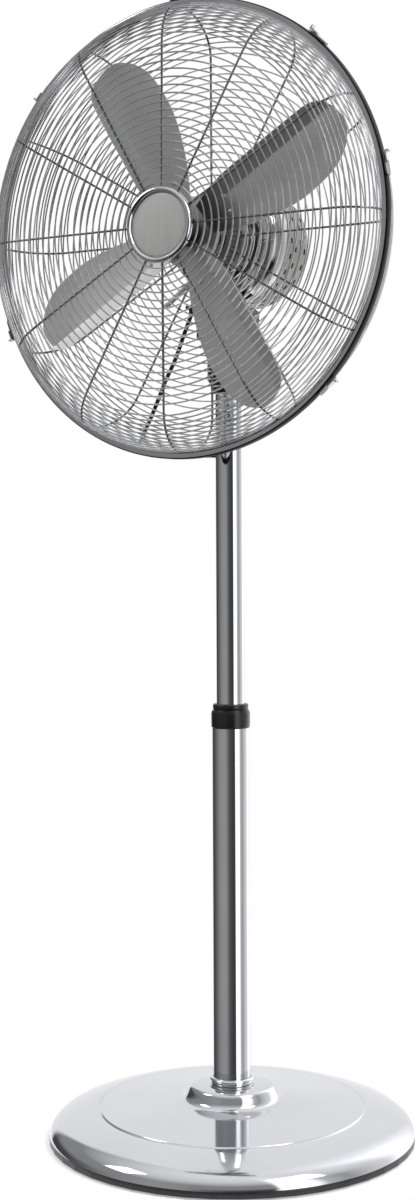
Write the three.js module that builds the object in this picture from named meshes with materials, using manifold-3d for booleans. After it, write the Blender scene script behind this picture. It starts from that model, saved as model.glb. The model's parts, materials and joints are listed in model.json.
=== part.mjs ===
// Pedestal fan: a wire-caged, four-bladed fan head on a telescopic pole and a round weighted base.
// Millimetres, +Z up. The origin is on the pole's axis at the floor, and the fan blows toward -Y.
import * as THREE from "three";
import { mergeVertices } from "three/addons/utils/BufferGeometryUtils.js";
import Module from "manifold-3d";

const wasm = await Module();
wasm.setup();

// Driving dimensions
const GAP = 0.3; // between pieces that touch
const FAN_HEIGHT = 902; // the blades' axis above the floor
const BASE_RADIUS = 185;
const RIM_PLANE = -88; // where the two halves of the cage meet
const HOOP_RADIUS = 218.5;
const HOOP_WIDTH = 10;
const OUTER_TUBE_RADIUS = 18.9;
const INNER_TUBE_RADIUS = 14.3;
const OUTER_TUBE_TOP = 417;
const COLLAR_TOP = 441;
const INNER_TUBE_BOTTOM = 262;
const NECK_BOTTOM = 752;
const SOCKET_TOP = 760;
const SPEED_KNOB_HEIGHT = 778;
const SWING_DRIVE_BOTTOM = 790;
const PIN_RADIUS = 4; // the swing pin
const FOOT_RADIUS = 9.5; // where the tilting foot enters the motor
const CONTROL_TOP = 808;
const CONTROL_RADIUS = 22;
const TILT_HEIGHT = 824; // the tilt pin's height
const MOTOR_RADIUS = 61;
const MOTOR_FRONT = -14;
const MOTOR_SPLIT = 12; // between the motor's two shells
const MOTOR_BACK = 66;
const MOTOR_WALL = 2.4;
const GUARD_SEAT = -28; // the shoulder behind the rear guard
const NECK_FRONT = -46; // the end of the motor's threaded neck
const SWING_PULL_ANGLE = -142; // degrees from +X, seen from the front
const BLADE_PLANE = -79;
const HUB_RADIUS = 33.7;
const BLADE_ROOT = 34;
const BLADE_TIP = 191.5;
const BLADE_COUNT = 4;
const BLADE_START = 26; // degrees from +X to the first blade
const SPOKES = 12;
const CELLS_PER_SPOKE = 3; // one cell holds the spoke and the rest hold the gap
const WIRE = 2; // thickness of the guard wires
const BADGE_RADIUS = 36;
const LEAD_RADIUS = 2.1;
const GLAND_RADIUS = 4.2;
const CLIP_ANGLES = [90, 48, 11, -45, -158, 137];

const fan = new THREE.Group();
const head = new THREE.Group(); // local +Z points forward, out of the fan
head.position.z = FAN_HEIGHT;
head.rotation.x = Math.PI / 2;
fan.add(head);

const look = (color, roughness, metalness) => new THREE.MeshStandardMaterial({ color, roughness, metalness });
const chrome = () => look(0xc9ccd0, 0.08, 1);
const steel = () => look(0xa9abad, 0.35, 1);
const iron = () => look(0x3b3c3e, 0.7, 0.6);
const satin = () => look(0x9c9d9b, 0.45, 0.9);
const blackPlastic = () => look(0x151516, 0.5, 0);
const rubber = () => look(0x0e0e0f, 0.9, 0);

function place(group, name, geometry, material) {
  const mesh = new THREE.Mesh(geometry, material);
  mesh.name = name;
  group.add(mesh);
  return mesh;
}

// A profile of [radius, height] points turned about Z.
function turned(profile, segments = 32) {
  const points = profile.map(([radius, height]) => new THREE.Vector2(radius, height));
  const geometry = new THREE.LatheGeometry(points, segments);
  geometry.rotateX(Math.PI / 2);
  return geometry;
}

// A pipe or washer; its profile closes on itself.
function ring(inner, outer, bottom, top, segments = 32) {
  return turned([[inner, bottom], [outer, bottom], [outer, top], [inner, top], [inner, bottom]], segments);
}

function disc(radius, bottom, top, segments = 32) {
  return turned([[0, bottom], [radius, bottom], [radius, top], [0, top]], segments);
}

function box(width, depth, height, x, y, z) {
  return new THREE.BoxGeometry(width, depth, height).translate(x, y, z);
}

function toSolid(geometry) {
  const bare = geometry.clone();
  for (const name of ["normal", "uv"]) {
    bare.deleteAttribute(name);
  }
  const merged = mergeVertices(bare, 1e-4);
  const mesh = new wasm.Mesh({
    numProp: 3,
    vertProperties: new Float32Array(merged.attributes.position.array),
    triVerts: new Uint32Array(merged.index.array),
  });
  mesh.merge();
  return new wasm.Manifold(mesh);
}

function fromSolid(solid) {
  const mesh = solid.getMesh();
  const geometry = new THREE.BufferGeometry();
  geometry.setAttribute("position", new THREE.BufferAttribute(mesh.vertProperties, 3));
  geometry.setIndex(new THREE.BufferAttribute(mesh.triVerts, 1));
  return geometry;
}

function cut(geometry, cutters) {
  const result = cutters.reduce((solid, cutter) => solid.subtract(toSolid(cutter)), toSolid(geometry));
  return fromSolid(result);
}

function join(geometries) {
  const [first, ...others] = geometries.map(toSolid);
  return fromSolid(others.reduce((solid, other) => solid.add(other), first));
}

// A closed sheet over a grid of points, with its holes where open(row, column) is true.
// front and back give the two faces' points; the columns wrap round when wrap is true.
function sheet(rows, columns, wrap, front, back, open = () => false) {
  const across = wrap ? columns : columns + 1;
  const positions = [];
  for (const side of [front, back]) {
    for (let row = 0; row <= rows; row += 1) {
      for (let column = 0; column < across; column += 1) {
        positions.push(...side(row, column));
      }
    }
  }
  const backStart = (rows + 1) * across;
  const at = (row, column) => row * across + (wrap ? column % columns : column);
  const filled = (row, column) => {
    if (row < 0 || row >= rows) {
      return false;
    }
    if (!wrap && (column < 0 || column >= columns)) {
      return false;
    }
    return !open(row, (column + columns) % columns);
  };
  const index = [];
  const quad = (a, b, c, d) => index.push(a, c, b, a, d, c);
  const wall = (a, b) => quad(b, a, a + backStart, b + backStart);
  for (let row = 0; row < rows; row += 1) {
    for (let column = 0; column < columns; column += 1) {
      if (!filled(row, column)) {
        continue;
      }
      const [a, b] = [at(row, column), at(row, column + 1)];
      const [c, d] = [at(row + 1, column + 1), at(row + 1, column)];
      quad(a, b, c, d);
      quad(backStart + d, backStart + c, backStart + b, backStart + a);
      if (!filled(row - 1, column)) {
        wall(a, b);
      }
      if (!filled(row, column + 1)) {
        wall(b, c);
      }
      if (!filled(row + 1, column)) {
        wall(c, d);
      }
      if (!filled(row, column - 1)) {
        wall(d, a);
      }
    }
  }
  const used = new Map();
  const kept = [];
  const renumbered = index.map((corner) => {
    if (!used.has(corner)) {
      used.set(corner, kept.length / 3);
      kept.push(...positions.slice(corner * 3, corner * 3 + 3));
    }
    return used.get(corner);
  });
  const geometry = new THREE.BufferGeometry();
  geometry.setAttribute("position", new THREE.Float32BufferAttribute(kept, 3));
  geometry.setIndex(renumbered);
  return geometry;
}

function addBase() {
  const wall = 1.6;
  const boreRadius = OUTER_TUBE_RADIUS + GAP;
  const topSide = [
    [BASE_RADIUS, 6.3], [184.4, 10.5], [180, 17], [171, 22.5], [155, 28.4], [137, 32.4],
    [135.3, 31.9], [133.6, 33.3], [100, 36.4], [62, 39.6], [54, 41.5], [48, 46.5],
    [43, 50.8], [38, 52], [boreRadius, 52],
  ];
  const underSide = [
    [boreRadius, 52 - wall], [41, 49.2], [52, 40], [62, 37.8], [132, 31.2], [155, 26.4],
    [178, 15.4], [BASE_RADIUS - wall, 6.3],
  ];
  place(fan, "base_cover", turned([...topSide, ...underSide, topSide[0]], 44), chrome());
  place(fan, "base_edge_ring", ring(181, BASE_RADIUS, 2, 6, 44), blackPlastic());
  const weightRadius = 160;
  const weightTop = 14;
  place(fan, "base_weight", disc(weightRadius, 3, weightTop, 40), iron());
  const footPad = () => disc(11, 0, 3 - GAP, 14);
  place(fan, "foot_pad_centre", footPad(), rubber());
  const feet = 4;
  const footCircle = 145;
  for (let i = 0; i < feet; i += 1) {
    const foot = place(fan, `foot_pad_${i + 1}`, footPad(), rubber());
    const angle = ((i + 0.5) * 2 * Math.PI) / feet;
    foot.position.set(footCircle * Math.cos(angle), footCircle * Math.sin(angle), 0);
  }
  const flangeBottom = weightTop + GAP;
  place(fan, "tube_flange", ring(boreRadius, 46, flangeBottom, flangeBottom + 4, 24), steel());
  const screws = 3;
  for (let i = 0; i < screws; i += 1) {
    const screw = place(fan, `flange_screw_${i + 1}`, disc(5, 0, 4, 6), steel());
    const angle = (i * 2 * Math.PI) / screws;
    screw.position.set(36 * Math.cos(angle), 36 * Math.sin(angle), flangeBottom + 4 + GAP);
  }
}

function addPole() {
  const outerInside = OUTER_TUBE_RADIUS - 1.5;
  place(fan, "outer_tube", ring(outerInside, OUTER_TUBE_RADIUS, 14 + GAP, OUTER_TUBE_TOP, 32), chrome());
  const footInside = OUTER_TUBE_RADIUS + GAP;
  const footRing = [
    [footInside, 52.3], [21, 52.3], [20.3, 56], [22.6, 57.5], [22.6, 61.5], [21.4, 63], [footInside, 63],
    [footInside, 52.3],
  ];
  place(fan, "tube_foot_ring", turned(footRing, 24), chrome());
  const bushInside = INNER_TUBE_RADIUS + GAP;
  place(fan, "guide_bush", ring(bushInside, outerInside - GAP, 391, OUTER_TUBE_TOP, 24), blackPlastic());
  const collar = [
    [bushInside, OUTER_TUBE_TOP + GAP], [19.3, OUTER_TUBE_TOP + GAP], [19.6, 420], [19.6, 432], [18.6, 434.5],
    [17.4, 434.7], [17.9, 436], [17.9, 440], [17, COLLAR_TOP], [bushInside, COLLAR_TOP],
    [bushInside, OUTER_TUBE_TOP + GAP],
  ];
  place(fan, "height_collar", turned(collar, 20), blackPlastic());
  const innerInside = INNER_TUBE_RADIUS - 1.3;
  const tube = ring(innerInside, INNER_TUBE_RADIUS, INNER_TUBE_BOTTOM, NECK_BOTTOM, 28);
  place(fan, "inner_tube", tube, chrome());
  const plug = [
    [0, INNER_TUBE_BOTTOM - 8], [outerInside - GAP, INNER_TUBE_BOTTOM - 8],
    [outerInside - GAP, INNER_TUBE_BOTTOM - GAP], [12.7, INNER_TUBE_BOTTOM - GAP],
    [12.7, 276], [0, 276],
  ];
  place(fan, "slide_plug", turned(plug, 20), blackPlastic());
}

function addNeck() {
  const insertRadius = INNER_TUBE_RADIUS - 1.3 - GAP;
  const socket = [
    [0, NECK_BOTTOM - 26], [insertRadius, NECK_BOTTOM - 26], [insertRadius, NECK_BOTTOM + GAP],
    [17.5, NECK_BOTTOM + GAP], [18.5, NECK_BOTTOM + 3], [18.5, SOCKET_TOP], [0, SOCKET_TOP],
  ];
  place(fan, "neck_socket", turned(socket, 24), blackPlastic());
  const bottom = SOCKET_TOP + GAP;
  const wall = 2.4;
  const inside = CONTROL_RADIUS - wall;
  const roof = CONTROL_TOP - 4;
  const housing = [
    [16, bottom], [18.5, bottom], [CONTROL_RADIUS, bottom + 5], [CONTROL_RADIUS, CONTROL_TOP - 4],
    [CONTROL_RADIUS - 3, CONTROL_TOP], [PIN_RADIUS + GAP, CONTROL_TOP], [PIN_RADIUS + GAP, roof],
    [inside, roof],
    [inside, bottom + 6], [16, bottom],
  ];
  const stemHole = disc(3.2 + GAP, 10, 30, 16).rotateX(-Math.PI / 2).translate(0, 0, SPEED_KNOB_HEIGHT);
  place(fan, "control_housing", cut(turned(housing, 28), [stemHole]), blackPlastic());
  place(fan, "speed_switch", box(20, 14, 14, 0, 0, SPEED_KNOB_HEIGHT), blackPlastic());
  place(fan, "swing_drive", ring(PIN_RADIUS + GAP, 13, SWING_DRIVE_BOTTOM, roof - GAP, 20), steel());
  const face = CONTROL_RADIUS + GAP;
  const speedKnob = [
    [0, 7 + GAP], [3.2, 7 + GAP], [3.2, face], [11, face], [11, face + 6], [10, face + 10], [0, face + 10],
  ];
  const grip = box(3.4, 5, 18, 0, face + 12, 0);
  const knobBody = join([turned(speedKnob, 22).rotateX(-Math.PI / 2), grip]);
  place(fan, "speed_knob", knobBody, satin()).position.z = SPEED_KNOB_HEIGHT;
}

// The neck swings about the pole's axis on a pin, and the motor's foot tilts between its cheeks.
function addTiltJoint() {
  const boltRadius = 3;
  const sideways = (radius, from, to) => {
    return disc(radius, from, to, 24).rotateY(Math.PI / 2).translate(0, 0, TILT_HEIGHT);
  };
  const bore = sideways(boltRadius + GAP, -20, 20);
  const cheekInside = 9 + GAP;
  const cheekOutside = 13.3;
  const cheekRadius = 8;
  const floorBottom = CONTROL_TOP + GAP;
  const cheekHeight = TILT_HEIGHT - floorBottom;
  const cheeks = [-1, 1].flatMap((side) => {
    const [from, to] = side > 0 ? [cheekInside, cheekOutside] : [-cheekOutside, -cheekInside];
    const middle = floorBottom + cheekHeight / 2;
    const post = box(to - from, 2 * cheekRadius, cheekHeight, (from + to) / 2, 0, middle);
    return [sideways(cheekRadius, from, to), post];
  });
  const floor = box(2 * cheekOutside, 2 * cheekRadius, 3.4, 0, 0, floorBottom + 1.7);
  const pin = disc(PIN_RADIUS, SWING_DRIVE_BOTTOM, floorBottom + 2, 20);
  const arm = [
    box(22, 8, 3.4, -24, -1, floorBottom + 1.7), box(4, 8, 33.7, -33, -1, floorBottom + 16.85),
    box(15, 12, 4, -38.5, -2, 840),
  ];
  const glandHole = leadSleeve([[0, -20], [GLAND_RADIUS + GAP, -20], [GLAND_RADIUS + GAP, 20], [0, 20]], 0);
  place(fan, "swing_fork", cut(join([floor, pin, ...cheeks, ...arm]), [bore, glandHole]), iron());
  const lug = sideways(cheekRadius, -9, 9);
  const web = box(18, 12, 8, 0, 0, TILT_HEIGHT + 8);
  const foot = disc(FOOT_RADIUS, TILT_HEIGHT + cheekRadius + 0.8, FAN_HEIGHT - 46, 28);
  place(fan, "motor_foot", cut(join([lug, web, foot]), [bore]), iron());
  const bolt = [[0, -19], [6.5, -19], [6.5, -13.6], [boltRadius, -13.6], [boltRadius, 17.5], [0, 17.5]];
  const boltMesh = place(fan, "tilt_bolt", turned(bolt, 20).rotateY(Math.PI / 2), steel());
  boltMesh.position.z = TILT_HEIGHT;
  const knob = cut(disc(12, 13.6, 28, 24), [disc(boltRadius + GAP, 10, 18, 20)]);
  const lobes = [0, 1, 2].map((i) => {
    const angle = (i * 2 * Math.PI) / 3;
    return disc(4.5, 14.5, 27, 12).translate(11 * Math.cos(angle), 11 * Math.sin(angle), 0);
  });
  const knobMesh = place(fan, "tilt_knob", join([knob, ...lobes]).rotateY(Math.PI / 2), blackPlastic());
  knobMesh.position.z = TILT_HEIGHT;
}

// The head's pieces are turned about the fan's axis, with forward as +Z of the head group.
const forward = (y) => -y;

function addMotor() {
  const front = forward(MOTOR_FRONT);
  const split = forward(MOTOR_SPLIT);
  const back = forward(MOTOR_BACK);
  const seat = forward(GUARD_SEAT);
  const neck = forward(NECK_FRONT);
  const inside = MOTOR_RADIUS - MOTOR_WALL;
  const frontShell = [
    [9, neck], [9, front - MOTOR_WALL], [42, front - MOTOR_WALL], [50.5, front - 6], [56.5, front - 13],
    [inside, front - 22], [inside, split + GAP], [MOTOR_RADIUS, split + GAP], [MOTOR_RADIUS, front - 21],
    [58.6, front - 10.5], [52.5, front - 3.5], [44, front], [34, front], [34, seat], [21.5, seat],
    [21.5, neck], [9, neck],
  ];
  const rearShell = [
    [0, back], [46, back], [54, back + 3], [59.5, back + 9], [MOTOR_RADIUS, back + 16], [MOTOR_RADIUS, split],
    [inside, split], [inside, back + 16], [57, back + 10.5], [52.5, back + 5.4], [45.5, back + MOTOR_WALL],
    [0, back + MOTOR_WALL],
  ];
  const footHole = disc(FOOT_RADIUS + GAP, -70, -30, 28).rotateX(-Math.PI / 2);
  const pullHole = outward(disc(3 + GAP, 40, 80, 16));
  place(head, "motor_front_shell", cut(turned(frontShell, 30), [footHole, pullHole]), chrome());
  const slots = [-24, -38].flatMap((height, row) => {
    const turns = Array.from({ length: 10 }, (_, i) => ((i + row / 2) * 2 * Math.PI) / 10);
    return turns.map((turn) => box(12, 4, 9, MOTOR_RADIUS, 0, height).rotateZ(turn));
  });
  place(head, "motor_rear_shell", cut(turned(rearShell, 30), slots), chrome());
  place(head, "stator", ring(25, 44, -40, -6, 28), iron());
  const pull = [
    [0, 46.5], [4.5, 46.5], [4.5, 48.5], [3, 48.5], [3, 91.5], [3.7, 92.5], [3.7, 94.5], [2.6, 95.5],
    [0, 95.5],
  ];
  place(head, "swing_pull", outward(turned(pull, 16)), steel());
}

// Lays a piece turned about Z along the swing pull's line, out of the motor's side.
function outward(geometry) {
  const turn = THREE.MathUtils.degToRad(SWING_PULL_ANGLE);
  return geometry.rotateY(Math.PI / 2).rotateZ(turn).translate(0, 0, forward(2));
}

function addRotor() {
  const shaft = [[0, -54], [4, -54], [4, 64], [3, 66], [3, 92], [0, 92]];
  const core = [[0, -38], [23.5, -38], [23.5, -8], [0, -8]];
  place(head, "rotor", join([turned(shaft, 20), turned(core, 24)]), steel());
  const plane = forward(BLADE_PLANE);
  const hubBack = plane - 8;
  const bore = 4 + GAP;
  const hubFront = hubBack + 6;
  const hub = [
    [bore, hubBack - 14], [13, hubBack - 14], [14, hubBack], [HUB_RADIUS, plane - 3.5],
    [HUB_RADIUS, plane - 0.5], [14, hubFront - 0.3], [13, hubFront], [3 + GAP, hubFront],
    [3 + GAP, 66 + GAP], [bore, 66 + GAP], [bore, hubBack - 14],
  ];
  place(head, "blade_hub", turned(hub, 24), steel());
  for (let i = 0; i < BLADE_COUNT; i += 1) {
    const blade = place(head, `blade_${i + 1}`, bladeGeometry(), satin());
    blade.rotation.z = THREE.MathUtils.degToRad(BLADE_START + (i * 360) / BLADE_COUNT);
  }
  const nut = [
    [3 + GAP, hubFront + GAP], [14, hubFront + GAP], [14, hubFront + 6], [9, hubFront + 16],
    [0, hubFront + 18], [0, 92 + GAP], [3 + GAP, 92 + GAP], [3 + GAP, hubFront + GAP],
  ];
  place(head, "blade_nut", turned(nut, 24), blackPlastic());
}

// One blade along +X, seen from the front: [radius, leading edge, trailing edge] out to the tip.
const BLADE_OUTLINE = [
  [34, 21, -22], [45, 23.5, -25], [60, 25.5, -28], [80, 27.5, -32], [100, 29.5, -34.5], [120, 31.5, -35.5],
  [140, 33, -34], [155, 34, -31], [165, 34.5, -28], [175, 33, -22.5], [183, 28, -15.5], [189, 18, -7],
  [191.5, 7, -1],
];

// A pitched plate over that outline, its leading strip folded forward along a straight line.
function bladeGeometry() {
  const rows = BLADE_OUTLINE.length - 1;
  const columns = 3;
  const thickness = 1.2;
  const fold = Math.tan(THREE.MathUtils.degToRad(17));
  const plane = forward(BLADE_PLANE);
  const point = (side) => (row, column) => {
    const [radius, leading, trailing] = BLADE_OUTLINE[row];
    const share = (radius - BLADE_ROOT) / (BLADE_TIP - BLADE_ROOT);
    const slope = Math.tan(THREE.MathUtils.degToRad(THREE.MathUtils.lerp(8, 5, share)));
    const crease = Math.min(4.1 + 0.1 * radius, leading - 2);
    const chord = [trailing, (trailing + crease) / 2, crease, leading][column];
    const rise = chord * slope + Math.max(chord - crease, 0) * fold + (side * thickness) / 2;
    return [radius, chord, plane + rise];
  };
  return sheet(rows, columns, false, point(1), point(-1));
}

// One half of the cage: rings and spokes cut from a dished sheet.
// bands is a list of [inner radius, its y, outer radius, its y], from the centre out.
function guardGeometry(bands, spokeWidth) {
  const edges = bands.flatMap(([inner, innerY, outer, outerY]) => [[inner, innerY], [outer, outerY]]);
  const columns = SPOKES * CELLS_PER_SPOKE;
  const spokePitch = (2 * Math.PI) / SPOKES;
  const angleAt = (column, radius) => {
    const spoke = Math.floor(column / CELLS_PER_SPOKE);
    const part = column % CELLS_PER_SPOKE;
    const half = spokeWidth / 2 / radius;
    const start = spoke * spokePitch;
    if (part === 0) {
      return start - half;
    }
    const gapShare = (part - 1) / (CELLS_PER_SPOKE - 1);
    return start + half + gapShare * (spokePitch - 2 * half);
  };
  const point = (side) => (row, column) => {
    const [radius, y] = edges[row];
    const before = edges[Math.max(row - 1, 0)];
    const after = edges[Math.min(row + 1, edges.length - 1)];
    const slope = new THREE.Vector2(after[0] - before[0], after[1] - before[1]).normalize();
    const shiftRadius = radius + (slope.y * side * WIRE) / 2;
    const depth = forward(y) + (slope.x * side * WIRE) / 2;
    const angle = angleAt(column, radius);
    return [shiftRadius * Math.cos(angle), shiftRadius * Math.sin(angle), depth];
  };
  const open = (row, column) => row % 2 === 1 && column % CELLS_PER_SPOKE !== 0;
  return sheet(edges.length - 1, columns, true, point(1), point(-1), open);
}

function addGuards() {
  const face = GUARD_SEAT - 2;
  const rear = [
    [22.3, face, 40, face], [76, face, 80, face], [118, face, 122, face], [156, face, 160, face],
    [184, face - 1, 188, face - 3], [205, face - 18, 207, face - 23],
    [210.6, RIM_PLANE + 3.2, 214.6, RIM_PLANE + 1.8],
  ];
  place(head, "rear_guard", guardGeometry(rear, 3), chrome());
  const badgeBack = -126;
  const front = [
    [25, badgeBack, 38, badgeBack], [76, badgeBack, 80, badgeBack], [116, badgeBack, 120, badgeBack],
    [152, badgeBack + 2, 156, badgeBack + 2.5], [182, badgeBack + 7, 186, badgeBack + 8.5],
    [203, badgeBack + 17, 206, badgeBack + 22], [210.6, RIM_PLANE - 3.2, 214.6, RIM_PLANE - 1.8],
  ];
  place(head, "front_guard", guardGeometry(front, 3), chrome());
  const nutFront = forward(face) + 1 + GAP;
  place(head, "guard_nut", ring(21.5 + GAP, 31, nutFront, nutFront + 12, 24), blackPlastic());
}

function addHoop() {
  const rim = forward(RIM_PLANE);
  const half = HOOP_WIDTH / 2;
  const lip = 212.5;
  const hoop = [
    [HOOP_RADIUS, rim - half], [HOOP_RADIUS, rim + half], [lip, rim + half], [lip, rim + half - 1],
    [HOOP_RADIUS - 1.6, rim + half - 1], [HOOP_RADIUS - 1.6, rim - half + 1], [lip, rim - half + 1],
    [lip, rim - half], [HOOP_RADIUS, rim - half],
  ];
  place(head, "hoop", turned(hoop, 48), chrome());
  CLIP_ANGLES.forEach((degrees, i) => {
    const spot = new THREE.Group();
    spot.rotation.z = THREE.MathUtils.degToRad(degrees);
    head.add(spot);
    const bottom = HOOP_RADIUS + GAP;
    const knuckle = disc(1.1, rim - 4.2, rim - 1.8, 12).translate(bottom + 1.2, 10.8, 0);
    place(spot, `clip_${i + 1}`, join([box(1.5, 22, 9, bottom + 0.75, 0, rim), knuckle]), steel());
    const lever = join([
      box(1.4, 9, 5.6, bottom + 3, 5.2, rim + 1.4),
      box(4.4, 1.4, 5.6, bottom + 4.4, 10, rim + 1.4),
    ]);
    place(spot, `clip_lever_${i + 1}`, lever, steel());
  });
}

function addBadge() {
  const back = 127 + GAP;
  place(head, "badge_ring", turned([
    [30.6, back], [BADGE_RADIUS, back], [BADGE_RADIUS, back + 3], [34, back + 6], [32, back + 6],
    [30.6, back + 3.5], [30.6, back],
  ], 32), chrome());
  place(head, "badge_plate", disc(30.3, back, back + 3, 32), satin());
  place(head, "badge_clamp", turned([
    [0, 121], [32, 121], [32, 125 - GAP], [24, 125 - GAP], [24, 127], [0, 127],
  ], 24), blackPlastic());
}

// The slack lead: out of the swinging fork's gland, down behind the cage and back into the pole.
const LEAD_ROUTE = [
  [-42.3, -2.9, 833.3], [-50, -5, 813], [-59, -7, 789], [-71, -8, 766], [-81, -8, 745],
  [-91.5, -6, 727], [-104, 2, 714.5], [-115.5, 14, 707], [-123.5, 27, 701], [-125.5, 41, 698],
  [-120.5, 50, 696], [-112, 56, 694], [-102, 56.8, 693], [-90, 51.5, 693], [-68, 39.5, 692],
  [-46, 26.5, 692], [-21.6, 12.45, 691],
];
const leadPath = new THREE.CatmullRomCurve3(LEAD_ROUTE.map((point) => new THREE.Vector3(...point)));

// A piece turned about the lead's own line at its start (0) or its end (1); heights run away from the lead.
function leadSleeve(profile, end) {
  const away = leadPath.getTangent(end).multiplyScalar(end === 0 ? -1 : 1);
  const turn = new THREE.Quaternion().setFromUnitVectors(new THREE.Vector3(0, 0, 1), away);
  return turned(profile, 16).applyQuaternion(turn).translate(...leadPath.getPoint(end).toArray());
}

function addLead() {
  const section = new THREE.Shape().absarc(0, 0, LEAD_RADIUS, 0, 2 * Math.PI);
  const geometry = new THREE.ExtrudeGeometry(section, {
    steps: 36, bevelEnabled: false, extrudePath: leadPath, curveSegments: 4,
  });
  place(fan, "lead", geometry, rubber());
  const gland = [[0, GAP], [2.9, GAP], [GLAND_RADIUS, 4], [GLAND_RADIUS, 11], [0, 11]];
  place(fan, "lead_gland", leadSleeve(gland, 0), blackPlastic());
  const grommet = [[0, GAP], [3, GAP], [4.5, 4], [4.5, 9.6], [0, 9.6]];
  place(fan, "pole_grommet", leadSleeve(grommet, 1), blackPlastic());
}

addBase();
addPole();
addNeck();
addTiltJoint();
addMotor();
addRotor();
addGuards();
addHoop();
addBadge();
addLead();

export default fan;
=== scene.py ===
"""Pedestal fan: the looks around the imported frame. Metres, +Z up, the fan faces -Y."""

import json
import math

import bmesh
import bpy
import numpy as np
from mathutils import Matrix, Vector


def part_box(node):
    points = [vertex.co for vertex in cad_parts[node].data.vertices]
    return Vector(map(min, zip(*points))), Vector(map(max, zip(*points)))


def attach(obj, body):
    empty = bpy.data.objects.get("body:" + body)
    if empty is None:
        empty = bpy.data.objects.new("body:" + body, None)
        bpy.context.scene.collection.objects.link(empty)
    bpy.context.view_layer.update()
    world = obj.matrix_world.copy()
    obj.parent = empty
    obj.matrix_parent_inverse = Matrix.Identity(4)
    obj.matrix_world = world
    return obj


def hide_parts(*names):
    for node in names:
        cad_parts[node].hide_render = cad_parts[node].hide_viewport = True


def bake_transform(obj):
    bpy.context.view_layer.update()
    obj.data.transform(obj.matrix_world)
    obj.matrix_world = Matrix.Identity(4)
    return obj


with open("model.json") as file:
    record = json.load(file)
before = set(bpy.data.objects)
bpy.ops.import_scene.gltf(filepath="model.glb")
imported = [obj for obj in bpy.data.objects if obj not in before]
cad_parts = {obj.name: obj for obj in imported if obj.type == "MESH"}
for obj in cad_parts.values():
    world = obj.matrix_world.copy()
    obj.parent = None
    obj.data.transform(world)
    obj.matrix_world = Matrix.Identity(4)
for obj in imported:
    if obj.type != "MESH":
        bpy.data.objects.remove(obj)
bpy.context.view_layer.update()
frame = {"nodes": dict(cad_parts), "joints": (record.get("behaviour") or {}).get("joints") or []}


def turned_size(node):
    """An upright turned node's outer radius, its bottom and its top, from the frame."""
    low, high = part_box(node)
    return round(high.x, 4), round(low.z, 4), round(high.z, 4)


FAN_HEIGHT = next(joint for joint in frame["joints"] if joint["name"] == "fan_spin")["pos_m"][2]
HOOP_LOW, HOOP_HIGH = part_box("hoop")
HOOP_RADIUS = round(HOOP_HIGH.x, 4)
RIM = round((HOOP_LOW.y + HOOP_HIGH.y) / 2, 4)  # the y at which the two grilles meet
CLIP_ANGLES = [90, 48, 11, -45, -158, 137]  # degrees from +X, as in the CAD
# takes a part that is modelled upright to the fan's axis, with its +Z to the front
HEAD = Matrix.Translation((0, 0, FAN_HEIGHT)) @ Matrix.Rotation(math.pi / 2, 4, "X")


# ---------------------------------------------------------------- camera
CAMERA_AZIMUTH = math.radians(30.25)
CAMERA_DISTANCE = 1.8614  # from the pole, level
CAMERA_HEIGHT = 0.6103
CAMERA_FACING = math.radians(30.95)  # it looks a little past the pole
CAMERA_PITCH = math.radians(-2.0)
CAMERA_ROLL = math.radians(-0.25)
CAMERA_LENS = 55.56  # millimetres


def add_camera():
    west, north = math.sin(CAMERA_FACING), math.cos(CAMERA_FACING)
    level = math.cos(CAMERA_PITCH)
    ahead = Vector((-west * level, north * level, math.sin(CAMERA_PITCH)))
    right = Vector((north, west, 0))
    up = right.cross(ahead)
    side = right * math.cos(CAMERA_ROLL) + up * math.sin(CAMERA_ROLL)
    top = -right * math.sin(CAMERA_ROLL) + up * math.cos(CAMERA_ROLL)
    data = bpy.data.cameras.new("camera")
    data.sensor_fit = "AUTO"
    data.sensor_width = 36
    data.lens = CAMERA_LENS
    data.clip_end = 50
    camera = bpy.data.objects.new("camera", data)
    east, south = math.sin(CAMERA_AZIMUTH), math.cos(CAMERA_AZIMUTH)
    place = Vector((CAMERA_DISTANCE * east, -CAMERA_DISTANCE * south, CAMERA_HEIGHT))
    camera.matrix_world = Matrix.Translation(place) @ Matrix((side, top, -ahead)).transposed().to_4x4()
    bpy.context.scene.collection.objects.link(camera)
    bpy.context.scene.camera = camera


add_camera()


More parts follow.
